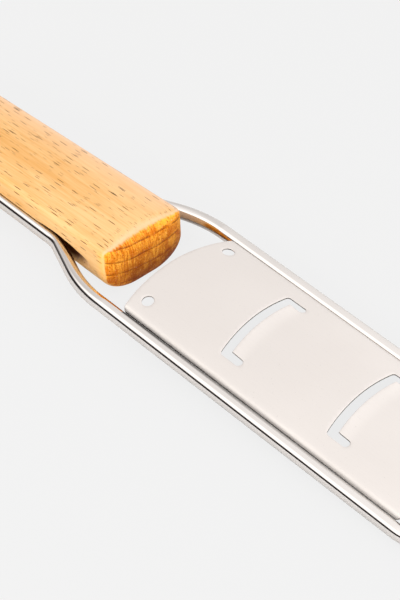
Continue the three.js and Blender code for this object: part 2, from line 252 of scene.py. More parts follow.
class Layout:
    """Places in the frame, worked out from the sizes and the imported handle's and wire's boxes."""

    def __init__(self):
        wire, handle, plate = settings().wire, settings().handle, settings().plate
        self.wire_radius = wire.diameter / 2
        self.wire_z = HANDLE_HIGH.z - handle.top_height - handle.top_crown
        self.leg_y = WIRE_HIGH.y - self.wire_radius
        self.front_x = HANDLE_HIGH.x
        self.rear_x = HANDLE_LOW.x
        self.shoulder_x = self.front_x + handle.shoulder_gap
        self.plate_end = plate.start + plate.length
        self.tip_reach = self.plate_end + wire.tip_window + self.wire_radius
        self.droop = math.asin((self.wire_z - self.wire_radius) / self.tip_reach)
        half = plate.width / 2
        seat = self.wire_radius + wire.fit_gap
        self.plate_edge_z = math.sqrt(seat**2 - (self.leg_y - half) ** 2) + plate.thickness
        self.arch_radius = (half**2 + plate.crown**2) / (2 * plate.crown)
        # Where the painted shade under the plate's long edges begins and ends along the legs
        self.gap_shade_start = plate.start + plate.end_bow + plate.corner / 2
        self.gap_shade_end = self.plate_end - plate.end_bow - plate.corner / 2

    def half_width(self, x):
        """Half the handle's width at x."""
        handle = settings().handle
        along = (self.front_x - x) / (self.front_x - self.rear_x)
        return (handle.front_width + (handle.rear_width - handle.front_width) * along) / 2

    def side_y(self, x):
        """Distance of the wire's axis from the middle, beside the handle."""
        return self.half_width(x) + self.wire_radius - settings().handle.groove_seat

    def on_legs(self, x, y, z=0.0):
        """A point in the drooping plane of the legs; x counts from the shoulder."""
        c, s = math.cos(self.droop), math.sin(self.droop)
        return Vector((self.shoulder_x + x * c + z * s, y, self.wire_z + z * c - x * s))


# ---- Mesh helpers ------------------------------------------------------------------------------


def mesh_object(name, vertices, faces, edges=()):
    mesh = bpy.data.meshes.new(name)
    mesh.from_pydata(
        [tuple(v) for v in vertices], [tuple(e) for e in edges], [tuple(f) for f in faces]
    )
    mesh.update()
    piece = bpy.data.objects.new(name, mesh)
    bpy.context.scene.collection.objects.link(piece)
    return piece


def smooth(piece):
    piece.data.polygons.foreach_set("use_smooth", [True] * len(piece.data.polygons))
    piece.data.update()


def settle(piece, name):
    """Turns what the modifiers make into a plain mesh, in a fresh object with no modifiers."""
    evaluated = piece.evaluated_get(bpy.context.evaluated_depsgraph_get())
    mesh = bpy.data.meshes.new_from_object(evaluated)
    bpy.data.objects.remove(piece)
    mesh.name = name
    made = bpy.data.objects.new(name, mesh)
    bpy.context.scene.collection.objects.link(made)
    return made


def write_attribute(piece, name, domain, values):
    """Stores one number for each point or face of a piece."""
    stored = piece.data.attributes.new(name, "FLOAT", domain)
    stored.data.foreach_set("value", values)


def declare(piece, node):
    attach(piece, BODY)
    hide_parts(node)


# ---- Node helpers ------------------------------------------------------------------------------


class Nodes:
    """Adds nodes to a tree, with short calls for the ones that are used again and again."""

    def __init__(self, tree):
        self.tree = tree

    def add(self, kind, inputs=None, **options):
        made = self.tree.nodes.new(kind)
        for option, value in options.items():
            setattr(made, option, value)
        for socket, value in (inputs or {}).items():
            self.feed(made.inputs[socket], value)
        return made

    def feed(self, socket, value):
        if isinstance(value, bpy.types.NodeSocket):
            self.tree.links.new(value, socket)
        else:
            socket.default_value = value

    def math(self, operation, a, b=0.0, clamp=False):
        return self.add("ShaderNodeMath", {0: a, 1: b}, operation=operation, use_clamp=clamp).outputs[0]

    def span(self, value, low, high, out_low=0.0, out_high=1.0, kind="SMOOTHSTEP"):
        return self.add(
            "ShaderNodeMapRange",
            {"Value": value, "From Min": low, "From Max": high, "To Min": out_low, "To Max": out_high},
            interpolation_type=kind,
        ).outputs[0]

    def mix(self, factor, a, b):
        made = self.add("ShaderNodeMix", data_type="RGBA")
        self.feed(made.inputs[0], factor)
        self.feed(made.inputs[6], a)
        self.feed(made.inputs[7], b)
        return made.outputs[2]


class Shader(Nodes):
    """Builds one node material, with short calls for its patterns."""

    def __init__(self, name):
        self.material = bpy.data.materials.new(name)
        self.material.use_nodes = True
        super().__init__(self.material.node_tree)
        self.surface = self.tree.nodes["Principled BSDF"]
        self.coordinates = self.tree.nodes.new("ShaderNodeTexCoord").outputs["Object"]

    def scaled(self, scale, offset=(0.0, 0.0, 0.0)):
        """Object coordinates times a scale for each axis, in cycles per metre."""
        return self.add(
            "ShaderNodeMapping", {"Vector": self.coordinates, "Scale": scale, "Location": offset}
        ).outputs[0]

    def noise(self, vector, detail=2.0, roughness=0.5):
        inputs = {"Vector": vector, "Scale": 1.0, "Detail": detail, "Roughness": roughness}
        return self.add("ShaderNodeTexNoise", inputs).outputs["Fac"]

    def bump(self, height, strength, distance, after=None):
        inputs = {"Height": height, "Strength": strength, "Distance": distance}
        if after is not None:
            inputs["Normal"] = after
        return self.add("ShaderNodeBump", inputs).outputs[0]

    def set(self, **values):
        """Sets the surface's own sockets; an underscore stands for a space."""
        for name, value in values.items():
            self.feed(self.surface.inputs[name.replace("_", " ")], value)
        return self.material


def rgba(rgb):
    return (*rgb, 1.0)


# ---- Materials ---------------------------------------------------------------------------------


def fleck_layer(shader, half_length, half_width, keep, offset):
    """Short dashes along the grain: thin ellipsoids scattered through the wood, some left out."""
    along, across = 0.25 / half_length, 0.25 / half_width
    drift = shader.noise(shader.scaled((18.0, 40.0, 40.0)), detail=1.0)
    centred = shader.math("MULTIPLY", shader.math("SUBTRACT", drift, 0.5), 0.9 * MM * across)
    bent = shader.add("ShaderNodeCombineXYZ", {"Y": centred, "Z": centred}).outputs[0]
    cell_scale = shader.scaled((along, across, across / 1.5), offset)
    vector = shader.add("ShaderNodeVectorMath", {0: cell_scale, 1: bent}, operation="ADD").outputs[0]
    cells = shader.add("ShaderNodeTexVoronoi", {"Vector": vector, "Scale": 1.0, "Randomness": 1.0})
    dash = shader.span(cells.outputs["Distance"], 0.20, 0.25, 1.0, 0.0)
    pick = shader.add("ShaderNodeSeparateColor", {"Color": cells.outputs["Color"]}).outputs[0]
    kept = shader.math("LESS_THAN", pick, keep)
    return shader.math("MULTIPLY", dash, kept)


def growth_rings(shader, axes):
    """(dark line at each ring's end, shade that deepens through each ring)."""
    pith_y, pith_z, period, waviness = 6.0 * MM, 85.0 * MM, 4.7 * MM, 3.0 * MM
    wander = shader.noise(shader.scaled((12.0, 60.0, 60.0)), detail=2.0)
    pith = shader.add(
        "ShaderNodeCombineXYZ",
        {
            "X": shader.math("SUBTRACT", axes.outputs[1], pith_y),
            "Y": shader.math("SUBTRACT", axes.outputs[2], pith_z),
        },
    ).outputs[0]
    radius = shader.add("ShaderNodeVectorMath", {0: pith}, operation="LENGTH").outputs["Value"]
    wavy = shader.math("ADD", radius, shader.math("MULTIPLY", wander, waviness))
    cycle = shader.math("FRACT", shader.math("MULTIPLY", wavy, 1.0 / period))
    line = shader.math(
        "MULTIPLY", shader.span(cycle, 0.78, 0.95), shader.span(cycle, 0.955, 0.995, 1.0, 0.0)
    )
    broken = shader.noise(shader.scaled((90.0, 210.0, 210.0)), detail=2.0)
    return (
        shader.math("MULTIPLY", line, shader.span(broken, 0.36, 0.60, 0.15, 1.0)),
        shader.span(cycle, 0.0, 1.0, 0.0, 1.0, "LINEAR"),
    )


def end_grain_colour(shader, axes, ring_line, ring_shade):
    """Oiled end grain: rays across the rings, blotches, pores, and painted shade on the lower half."""
    finish = settings().finish
    deep, bright, dark_and_shade = rgba(finish.end_grain), rgba(finish.end_bright), rgba(finish.end_dark_and_shade)
    rays = shader.noise(shader.scaled((300.0, 1900.0, 260.0)), detail=3.0, roughness=0.75)
    blotch = shader.noise(shader.scaled((150.0, 150.0, 210.0)), detail=4.0, roughness=0.65)
    pores = shader.noise(shader.scaled((900.0, 2600.0, 1900.0)), detail=2.0, roughness=0.7)
    open_side = shader.span(axes.outputs[1], -0.004, 0.012, 0.0, 0.30)
    ray_share = shader.math("ADD", shader.span(rays, 0.36, 0.64, 0.10, 0.95), open_side)
    streaked = shader.mix(shader.math("MULTIPLY", ray_share, 1.0, clamp=True), deep, bright)
    patched = shader.mix(shader.span(blotch, 0.47, 0.62, 0.0, 0.80), streaked, deep)
    ringed = shader.mix(shader.math("MULTIPLY", ring_shade, 0.40), patched, deep)
    # Painted shade: the end grain darkens towards its bottom, less so on the -Y side, broken up by the
    # blotches
    low = shader.math(
        "MULTIPLY", shader.span(axes.outputs[2], 0.002, 0.0150, 1.0, 0.0),
        shader.span(axes.outputs[1], -0.0150, -0.0040, 0.15, 1.0),
    )
    uneven = shader.math("MULTIPLY", low, shader.span(blotch, 0.38, 0.58, 0.60, 1.0))
    low_shaded = shader.mix(uneven, ringed, dark_and_shade)
    lined = shader.mix(shader.math("MULTIPLY", ring_line, 0.80), low_shaded, dark_and_shade)
    pored = shader.mix(shader.span(pores, 0.56, 0.66, 0.0, 0.75), lined, dark_and_shade)
    glint = shader.mix(shader.span(pores, 0.30, 0.38, 0.5, 0.0), pored, rgba(finish.wood_sheen))
    return glint, rays


def beech_material():
    """Oiled beech: pale long grain with ray flecks, and deep orange end grain with growth rings."""
    finish = settings().finish
    shader = Shader("oiled_beech")
    normal = shader.add("ShaderNodeNewGeometry").outputs["Normal"]
    facing = shader.add("ShaderNodeSeparateXYZ", {"Vector": normal})
    axes = shader.add("ShaderNodeSeparateXYZ", {"Vector": shader.coordinates})
    steep = shader.math("ABSOLUTE", facing.outputs[0])
    ragged = shader.noise(shader.scaled((500.0, 1500.0, 500.0)), detail=2.0)
    reach = shader.math("ADD", steep, shader.span(ragged, 0.3, 0.7, -0.06, 0.06))
    end = shader.span(reach, 0.54, 0.76)
    # Painted sheen: a pale band on the rounded arris at the front end and along the +Y side of the top
    # stands in for the highlight there
    arris = shader.math(
        "MULTIPLY", shader.span(steep, 0.14, 0.45, 0.0, 0.45), shader.span(steep, 0.56, 0.72, 1.0, 0.0)
    )
    painted_sheen = shader.math("MAXIMUM", arris, shader.span(facing.outputs[1], 0.02, 0.24, 0.0, 0.9))

    # Broad figure and fine fibres along the grain
    figure = shader.noise(shader.scaled((9.0, 75.0, 75.0)), detail=3.0, roughness=0.55)
    fibre = shader.noise(shader.scaled((110.0, 4200.0, 4200.0)), detail=2.0)
    strand = shader.noise(shader.scaled((40.0, 1100.0, 1100.0)), detail=2.0)
    fine = shader.math(
        "ADD", shader.span(fibre, 0.3, 0.7, -0.15, 0.30), shader.span(strand, 0.3, 0.7, -0.16, 0.20)
    )
    tone = shader.math("ADD", shader.span(figure, 0.32, 0.68, 0.0, 0.8), fine)
    grain = shader.mix(
        shader.math("MULTIPLY", tone, 1.0, clamp=True), rgba(finish.wood_light), rgba(finish.wood_dark)
    )
    ring_line, ring_shade = growth_rings(shader, axes)
    ringed = shader.mix(shader.math("MULTIPLY", ring_line, 0.20), grain, rgba(finish.wood_dark))
    long_grain = shader.mix(painted_sheen, ringed, rgba(finish.wood_sheen))

    # Flecks on the long grain, in two sizes
    long_flecks = fleck_layer(shader, 2.2 * MM, 0.12 * MM, 0.42, (0.0, 0.0, 0.0))
    short_flecks = fleck_layer(shader, 1.3 * MM, 0.07 * MM, 0.26, (5.3, 2.1, 7.7))
    flecks = shader.math("MAXIMUM", long_flecks, shader.math("MULTIPLY", short_flecks, 0.8))
    fleck_cover = shader.math("MULTIPLY", flecks, shader.span(steep, 0.10, 0.45, 0.95, 0.0))
    flecked = shader.mix(fleck_cover, long_grain, rgba(finish.fleck))

    # Oil creeps from the end grain into the sides; the grooves get painted shade, darkest where they are
    # deepest
    creep = shader.math(
        "MULTIPLY", shader.span(axes.outputs[0], HANDLE_HIGH.x - OIL_CREEP, HANDLE_HIGH.x, 0.0, 0.5),
        shader.span(facing.outputs[2], 0.25, 0.70, 1.0, 0.0),
    )
    oiled = shader.mix(creep, flecked, rgba(finish.end_bright))
    end_colour, rays = end_grain_colour(shader, axes, ring_line, ring_shade)
    surface = shader.mix(end, oiled, end_colour)
    # Painted shade in the grooves, where the wire and the groove's lips keep the light out
    depth = shader.add("ShaderNodeAttribute", attribute_name="groove_depth").outputs["Fac"]
    groove_shade = shader.span(depth, 0.05 * MM, 2.4 * MM, 0.0, 0.98)
    groove_shaded = shader.mix(groove_shade, surface, rgba([0.30 * c for c in finish.end_dark_and_shade]))

    relief = shader.math("SUBTRACT", shader.math("MULTIPLY", fibre, 0.35), flecks)
    grain_bump = shader.bump(relief, 0.25, 0.06 * MM)
    end_bump = shader.bump(
        shader.math("MULTIPLY", shader.math("SUBTRACT", rays, ring_line), end), 0.45, 0.15 * MM, grain_bump
    )
    rough = shader.math("ADD", finish.wood_roughness, shader.span(fibre, 0.3, 0.7, -0.05, 0.06))
    return shader.set(
        Base_Color=groove_shaded, Roughness=rough, Normal=end_bump, Specular_IOR_Level=0.1
    )


def polished_wire_material():
    """Polished stainless wire: faint drawing marks, and painted shade: a dark band under the plate's edges
    for the shadowed gap there.
    """
    finish = settings().finish
    shader = Shader("polished_wire")
    scratches = shader.noise(shader.scaled((45.0, 2600.0, 2600.0)), detail=3.0, roughness=0.6)
    haze = shader.noise(shader.scaled((60.0, 60.0, 60.0)), detail=2.0)
    marks = shader.math(
        "ADD", shader.span(scratches, 0.35, 0.7, 0.0, 0.035), shader.span(haze, 0.3, 0.7, 0.0, 0.02)
    )
    rough = shader.math("ADD", marks, finish.wire_roughness)
    hazed = rgba([0.97 * c for c in finish.wire])
    steel = shader.mix(shader.span(haze, 0.35, 0.7), rgba(finish.wire), hazed)
    # Painted shade: black and matt along the band under the plate's edges, for the shadowed gap there
    wire_gap_shade = shader.add("ShaderNodeAttribute", attribute_name="painted_wire_shade").outputs["Fac"]
    tint = shader.mix(wire_gap_shade, steel, rgba(finish.rim))
    return shader.set(
        Base_Color=tint, Metallic=shader.math("SUBTRACT", 1.0, wire_gap_shade), Specular_IOR_Level=0.0,
        Roughness=rough, Normal=shader.bump(scratches, 0.04, 0.02 * MM),
    )


def satin_plate_material():
    """Satin stainless sheet: fine brushing, a soft unevenness, and painted shade: a dark outer rim and a
    dark margin below, for the shadowed gap over the wires.
    """
    finish = settings().finish
    shader = Shader("satin_plate")
    brushing = shader.noise(shader.scaled((90.0, 5200.0, 700.0)), detail=3.0, roughness=0.65)
    cloud = shader.noise(shader.scaled((28.0, 34.0, 28.0)), detail=2.0)
    specks = shader.noise(shader.scaled((1900.0, 1900.0, 1900.0)), detail=1.0)
    uneven = shader.math(
        "ADD", shader.span(brushing, 0.3, 0.7, -0.04, 0.05), shader.span(cloud, 0.3, 0.7, -0.03, 0.03)
    )
    rough = shader.math("ADD", finish.plate_roughness, uneven)
    clouded = rgba([0.975 * c for c in finish.plate])
    shade = shader.mix(shader.span(cloud, 0.3, 0.7), rgba(finish.plate), clouded)
    flat = shader.mix(shader.span(specks, 0.70, 0.80, 0.0, 0.12), shade, rgba(finish.rim))
    # Painted shade: black and matt on the outer rim and the margin underneath, for the shadowed gap over
    # the wires
    plate_gap_shade = shader.add("ShaderNodeAttribute", attribute_name="painted_plate_shade").outputs["Fac"]
    tint = shader.mix(plate_gap_shade, flat, rgba(finish.rim))
    return shader.set(
        Base_Color=tint, Metallic=shader.math("SUBTRACT", 1.0, plate_gap_shade), Specular_IOR_Level=0.0,
        Roughness=rough, Normal=shader.bump(brushing, 0.05, 0.02 * MM),
    )


def paper_material(name, reflectance, glow):
    """Matt studio paper; the glow keeps the shadows on it faint."""
    finish = settings().finish
    shader = Shader(name)
    return shader.set(
        Base_Color=rgba([reflectance * c for c in finish.floor]), Roughness=1.0, Specular_IOR_Level=0.0,
        Emission_Color=rgba(finish.floor), Emission_Strength=glow,
    )


# ---- Beech handle ------------------------------------------------------------------------------


def nose_profile(count, fullness):
    """(scale of the section, share of the nose's length) from the body to the end of a nose."""
    angles = np.linspace(0.0, math.pi / 2, count + 1)[:-1]
    return [(math.cos(a) ** (2 / fullness), math.sin(a) ** (2 / fullness)) for a in angles]


def handle_stations(layout):
    """(x, scale of the section) along the handle, close together where it curves."""
    handle = settings().handle
    rear = [
        (layout.rear_x + handle.rear_nose * (1 - reach), scale)
        for scale, reach in reversed(nose_profile(36, handle.rear_fullness))
    ]
    front = [
        (layout.front_x - handle.front_nose * (1 - reach), scale)
        for scale, reach in nose_profile(30, handle.front_fullness)
    ]
    body = np.arange(rear[-1][0] + 0.8 * MM, front[0][0] - 0.4 * MM, 0.8 * MM)
    return rear + [(float(x), 1.0) for x in body] + front


def groove_notch(layout, x, z, half_width):
    """How far the side at height z over the wire's axis is cut back by the wire's groove."""
    handle, wire = settings().handle, settings().wire
    stop = layout.front_x - handle.groove_stop
    hook = layout.rear_x + wire.hook_setback
    pocket = max(0.0, 1 - abs(x - stop + handle.pocket_shift) / handle.pocket_reach) ** 0.7
    radius = layout.wire_radius + wire.fit_gap + handle.pocket_rise * pocket
    runout = max(0.0, x - stop) ** 2 / (2 * handle.runout_radius)
    axis = layout.side_y(x) - handle.pocket_depth * pocket + runout
    room = radius**2 - z**2 - max(0.0, hook - x) ** 2
    if room <= 0:
        return 0.0
    return max(0.0, half_width - (axis - math.sqrt(room)))


def half_section(layout, x):
    """The outline on the +Y side at x, as (y, z, depth of the groove) from the belly to the top."""
    handle = settings().handle
    full = handle.front_width / 2
    land = handle.belly_land / 2
    belly = layout.wire_z
    drop = belly - handle.side_drop
    zone = layout.wire_radius + handle.pocket_rise + 0.5 * MM
    points = [(land * t, -belly) for t in np.linspace(0, 1, 5)]
    lowest = math.asin((-zone + handle.side_drop) / drop)
    for angle in np.linspace(-math.pi / 2, lowest, 20)[1:-1]:
        points.append((land + (full - land) * math.cos(angle), -handle.side_drop + drop * math.sin(angle)))
    for z in np.linspace(-zone, zone, GROOVE_POINTS):
        below = max(0.0, -handle.side_drop - z) / drop
        y = land + (full - land) * math.sqrt(1 - below**2)
        points.append((y, z))
    corner_z = handle.top_height - handle.top_radius
    inner = full - handle.top_radius
    points += [(full, z) for z in np.linspace(zone, corner_z, 7)[1:]]
    tilt = math.atan(2 * handle.top_crown / inner)
    for angle in np.linspace(0, math.pi / 2 - tilt, 13)[1:]:
        round_y, round_z = handle.top_radius * math.cos(angle), handle.top_radius * math.sin(angle)
        points.append((inner + round_y, corner_z + round_z))
    edge_y, edge_z = points[-1]
    crest = handle.top_height + handle.top_crown
    for t in np.linspace(0, 1, 16)[1:]:
        points.append((edge_y * (1 - t), crest - (crest - edge_z) * (1 - t) ** 2))
    widened = []
    spread = layout.half_width(x) / full
    for y, z in points:
        width = y * spread
        notch = groove_notch(layout, x, z, width) if abs(z) < zone else 0.0
        widened.append((width - notch, z, notch))
    return widened


def beech_handle_mesh(layout):
    """Vertices and faces of the lofted handle, and how deep in a groove each vertex lies."""
    handle = settings().handle
    middle = (handle.top_height + handle.top_crown - layout.wire_z) / 2
    rings, depths = [], []
    for x, scale in handle_stations(layout):
        right = half_section(layout, x)
        outline = right + [(-y, z, notch) for y, z, notch in reversed(right[1:-1])]
        depths += [notch for _, _, notch in outline]
        ease = max(0.0, 1 - (layout.front_x - x) / handle.ease_length) ** 2
        ring = []
        for y, z, _ in outline:
            upper = max(0.0, (z - middle) / (handle.top_height - middle))
            sag = handle.ease_depth * ease * upper**2 * (1 - (y / layout.half_width(x)) ** 2)
            ring.append((x, y * scale, layout.wire_z + middle + (z - sag - middle) * scale))
        rings.append(ring)
    count = len(rings[0])
    vertices = [point for ring in rings for point in ring]
    faces = []
    for i in range(len(rings) - 1):
        for k in range(count):
            after = (k + 1) % count
            faces.append((i * count + k, i * count + after, (i + 1) * count + after, (i + 1) * count + k))
    for i, ring in ((0, rings[0]), (len(rings) - 1, rings[-1])):
        hub = len(vertices)
        vertices.append(tuple(np.mean(ring, axis=0)))
        depths.append(0.0)
        for k in range(count):
            edge = (i * count + k, i * count + (k + 1) % count)
            faces.append((hub, *edge) if i else (hub, edge[1], edge[0]))
    return vertices, faces, depths


class SLICER_OT_handle(bpy.types.Operator):
    """Shape the beech handle with its two wire grooves"""

    bl_idname = "slicer.handle"
    bl_label = "Beech Handle"

    def execute(self, context):
        vertices, faces, depths = beech_handle_mesh(Layout())
        piece = mesh_object("beech_handle", vertices, faces)
        write_attribute(piece, "groove_depth", "POINT", depths)
        make_normals_outward(piece)
        smooth(piece)
        piece.data.materials.append(beech_material())
        declare(piece, "handle")
        return {"FINISHED"}


def make_normals_outward(piece):
    """Joins the points that coincide and turns every face outwards."""
    work = bmesh.new()
    work.from_mesh(piece.data)
    bmesh.ops.remove_doubles(work, verts=work.verts, dist=1e-7)
    bmesh.ops.recalc_face_normals(work, faces=work.faces)
    work.to_mesh(piece.data)
    work.free()


# ---- Bent wire ---------------------------------------------------------------------------------


def wire_corners(layout):
    """The wire's corners with their bend radii, from one hooked end round the tip to the other.

    Four straight points on each leg, with no bend, bound the painted shade under the plate's edges at its
    two ends.
    """
    wire = settings().wire
    hook_x = layout.rear_x + wire.hook_setback
    neck_x = layout.shoulder_x - wire.neck_length
    flare_x = neck_x + wire.flare_run
    leg = [
        (Vector((hook_x, layout.half_width(hook_x) - wire.hook_depth, layout.wire_z)), 0.0),
        (Vector((hook_x, layout.side_y(hook_x), layout.wire_z)), wire.hook_radius),
        (Vector((neck_x, layout.side_y(neck_x), layout.wire_z)), wire.neck_radius),
        (Vector((flare_x, layout.leg_y, layout.wire_z)), wire.shoulder_radius),
        (Vector((layout.shoulder_x, layout.leg_y, layout.wire_z)), wire.droop_radius),
    ]
    gap_shade_step = 0.3 * MM
    first, last = layout.gap_shade_start, layout.gap_shade_end
    for along in (first, first + gap_shade_step, last - gap_shade_step, last):
        leg.append((layout.on_legs(along, layout.leg_y), 0.0))
    leg.append((layout.on_legs(layout.tip_reach, layout.leg_y), wire.tip_radius))
    mirrored = [(Vector((at.x, -at.y, at.z)), radius) for at, radius in reversed(leg)]
    return leg + mirrored


def painted_wire_shades(points, layout):
    """How much painted shade the wire gets at each point: a dark band under the plate's edges stands in for
    the shadowed gap between plate and wire.
    """
    c, s = math.cos(layout.droop), math.sin(layout.droop)
    shades = []
    for at in points:
        ahead, up = at.x - layout.shoulder_x, at.z - layout.wire_z
        along, height = ahead * c - up * s, ahead * s + up * c
        share = (along - layout.gap_shade_start) / (layout.gap_shade_end - layout.gap_shade_start)
        if not 0.0005 < share < 0.9995:
            shades.append(0.0)
            continue
        angle = math.degrees(math.atan2(layout.leg_y - abs(at.y), height))
        first = GAP_SHADE_FIRST_ANGLE + GAP_SHADE_NARROWING * share
        if at.y > 0:
            first += GAP_SHADE_FAR_SIDE
        rise = (angle - first) / GAP_SHADE_FADE
        fall = (GAP_SHADE_LAST_ANGLE - angle) / GAP_SHADE_FADE
        shades.append(min(1.0, max(0.0, min(rise, fall))) * (1 - 0.3 * share))
    return shades


def geometry_tree(name, sockets):
    """A Geometry Nodes tree with geometry in and out and named inputs, and its input sockets."""
    tree = bpy.data.node_groups.new(name, "GeometryNodeTree")
    tree.interface.new_socket("Geometry", in_out="INPUT", socket_type="NodeSocketGeometry")
    for title, kind in (*sockets.items(), ("Material", "Material")):
        tree.interface.new_socket(title, in_out="INPUT", socket_type="NodeSocket" + kind)
    tree.interface.new_socket("Geometry", in_out="OUTPUT", socket_type="NodeSocketGeometry")
    nodes = Nodes(tree)
    return nodes, nodes.add("NodeGroupInput").outputs


def end_tree(nodes, source, geometry):
    """Realizes the instances, sets the material and hands the geometry out."""
    realized = nodes.add("GeometryNodeRealizeInstances", {"Geometry": geometry}).outputs[0]
    painted = nodes.add(
        "GeometryNodeSetMaterial", {"Geometry": realized, "Material": source["Material"]}
    ).outputs[0]
    nodes.add("NodeGroupOutput", {"Geometry": painted})
    return nodes.tree


def wire_sweep_tree():
    """Geometry Nodes: fillets a polyline at each corner and sweeps a round section along it."""
    nodes, source = geometry_tree(
        "Bent Wire", {"Wire Radius": "Float", "Sides": "Int", "Bend Steps": "Int"}
    )
    curve = nodes.add("GeometryNodeMeshToCurve", {"Mesh": source["Geometry"]}).outputs["Curve"]
    bend = nodes.add("GeometryNodeInputNamedAttribute", {"Name": "bend_radius"}, data_type="FLOAT")
    fillet = nodes.add(
        "GeometryNodeFilletCurve",
        {"Curve": curve, "Count": source["Bend Steps"], "Radius": bend.outputs["Attribute"]},
        mode="POLY",
    )
    circle = nodes.add(
        "GeometryNodeCurvePrimitiveCircle", {"Resolution": source["Sides"], "Radius": source["Wire Radius"]}
    )
    swept = nodes.add(
        "GeometryNodeCurveToMesh",
        {"Curve": fillet.outputs["Curve"], "Profile Curve": circle.outputs["Curve"], "Fill Caps": True},
    )
    shaded = nodes.add("GeometryNodeSetShadeSmooth", {"Geometry": swept.outputs["Mesh"]})
    return end_tree(nodes, source, shaded.outputs["Geometry"])


def run_tree(piece, tree, values):
    """Puts a Geometry Nodes tree on a piece with its named inputs set by their identifiers."""
    modifier = piece.modifiers.new(tree.name, "NODES")
    modifier.node_group = tree
    for item in tree.interface.items_tree:
        if item.in_out == "INPUT" and item.name in values:
            modifier[item.identifier] = values[item.name]
    piece.update_tag()


class SLICER_OT_wire(bpy.types.Operator):
    """Bend the round wire that carries the plate"""

    bl_idname = "slicer.wire"
    bl_label = "Wire Frame"

    def execute(self, context):
        layout, wire = Layout(), settings().wire
        corners = wire_corners(layout)
        edges = [(i, i + 1) for i in range(len(corners) - 1)]
        route = mesh_object("wire_route", [at for at, _ in corners], [], edges)
        write_attribute(route, "bend_radius", "POINT", [radius for _, radius in corners])
        run_tree(
            route, wire_sweep_tree(),
            {
                "Wire Radius": layout.wire_radius, "Sides": wire.sides, "Bend Steps": wire.bend_steps,
                "Material": polished_wire_material(),
            },
        )
        piece = settle(route, "bent_wire")
        # Painted shade along the band under the plate's edges
        shades = painted_wire_shades([vertex.co for vertex in piece.data.vertices], layout)
        write_attribute(piece, "painted_wire_shade", "POINT", shades)
        declare(piece, "wire_frame")
        return {"FINISHED"}


# ---- Slicing plate -----------------------------------------------------------------------------


def corner_clip(y, half_width, radius):
    """How far a round corner pulls an edge back, at y on an edge that reaches half_width each way."""
    past = max(0.0, abs(y) - (half_width - radius))
    return radius - math.sqrt(max(0.0, radius**2 - past**2))


def across_edge(half_width, steps):
    """Places across an edge, closer together towards its corners."""
    return [half_width * math.sin((i / steps - 0.5) * math.pi) for i in range(steps + 1)]


def slot_curve(y):
    plate = settings().plate
    return plate.slot_bow / MM * y * y - plate.slot_skew * y


def plate_outline(layout):
    plate = settings().plate
    half = plate.width / 2
    bow_radius = (half**2 + plate.end_bow**2) / (2 * plate.end_bow)
    points = []
    for end in (1, -1):
        for across in across_edge(half, PLATE_END_STEPS):
            bulge = bow_radius - math.sqrt(bow_radius**2 - across**2)
            back = bulge + corner_clip(across, half, plate.corner)
            x = layout.plate_end - back if end > 0 else plate.start + back
            points.append((x, end * across))
        corner = points[-1][0]
        opposite = layout.plate_end + plate.start - corner
        along = np.linspace(corner, opposite, PLATE_SIDE_POINTS)[1:-1]
        points += [(float(x), end * half) for x in along]
    return points


def slot_outline(rear_x):
    """A bracket: the rear edge, and an arm at each end that reaches towards the tip."""
    plate = settings().plate
    outer = plate.slot_span / 2
    inner = outer - plate.arm_width
    round_end = plate.arm_width / 2
    points = []
    for across in across_edge(outer, SLOT_REAR_STEPS):
        x = rear_x + slot_curve(-across) + corner_clip(across, outer, plate.slot_corner)
        points.append((x, -across))

    def straight(x_from, x_to, y, count=8):
        points.extend((float(x), y) for x in np.linspace(x_from, x_to, count)[1:-1])

    def arm(middle, start_y, end_y, next_x):
        turn_x = rear_x + slot_curve(middle) + plate.arm_length - round_end
        straight(points[-1][0], turn_x, start_y)
        for angle in np.linspace(-math.pi / 2, math.pi / 2, ARM_END_POINTS):
            x, y = turn_x + round_end * math.cos(angle), middle + round_end * math.sin(angle)
            points.append((x, y))
        straight(turn_x, next_x, end_y, 5)

    def front(y):
        return rear_x + slot_curve(y) + plate.slot_gap

    arm(-(inner + outer) / 2, -outer, -inner, front(-inner))
    points += [(front(y), y) for y in np.linspace(-inner, inner, CUTTING_EDGE_POINTS)]
    arm((inner + outer) / 2, inner, outer, points[0][0])
    return points


def hole_outline(x, y, radius):
    angles = np.linspace(0, 2 * math.pi, HOLE_STEPS + 1)[:-1]
    return [(x + radius * math.cos(a), y - radius * math.sin(a)) for a in angles]


def outward_normals(loop):
    """Unit normals of a closed loop that point to the left of its direction."""
    points = np.array(loop)
    ahead = np.roll(points, -1, axis=0) - points
    behind = points - np.roll(points, 1, axis=0)
    ahead /= np.linalg.norm(ahead, axis=1)[:, None]
    behind /= np.linalg.norm(behind, axis=1)[:, None]
    along = ahead + behind
    along /= np.linalg.norm(along, axis=1)[:, None]
    return np.stack([along[:, 1], -along[:, 0]], axis=1)


def signed_area(loop):
    points = np.array(loop)
    x, y = points[:, 0], points[:, 1]
    return 0.5 * float(np.sum(x * np.roll(y, -1) - y * np.roll(x, -1)))


def inside(points, loop):
    """Which of the points lie inside a closed loop."""
    loop = np.array(loop)
    x, y = points[:, 0][:, None], points[:, 1][:, None]
    ax, ay = loop[:, 0][None], loop[:, 1][None]
    bx, by = np.roll(loop, -1, axis=0)[:, 0][None], np.roll(loop, -1, axis=0)[:, 1][None]
    crosses = (ay > y) != (by > y)
    slope = np.where(by == ay, 1e-12, by - ay)
    left = x < (bx - ax) * (y - ay) / slope + ax
    return np.sum(crosses & left, axis=1) % 2 == 1


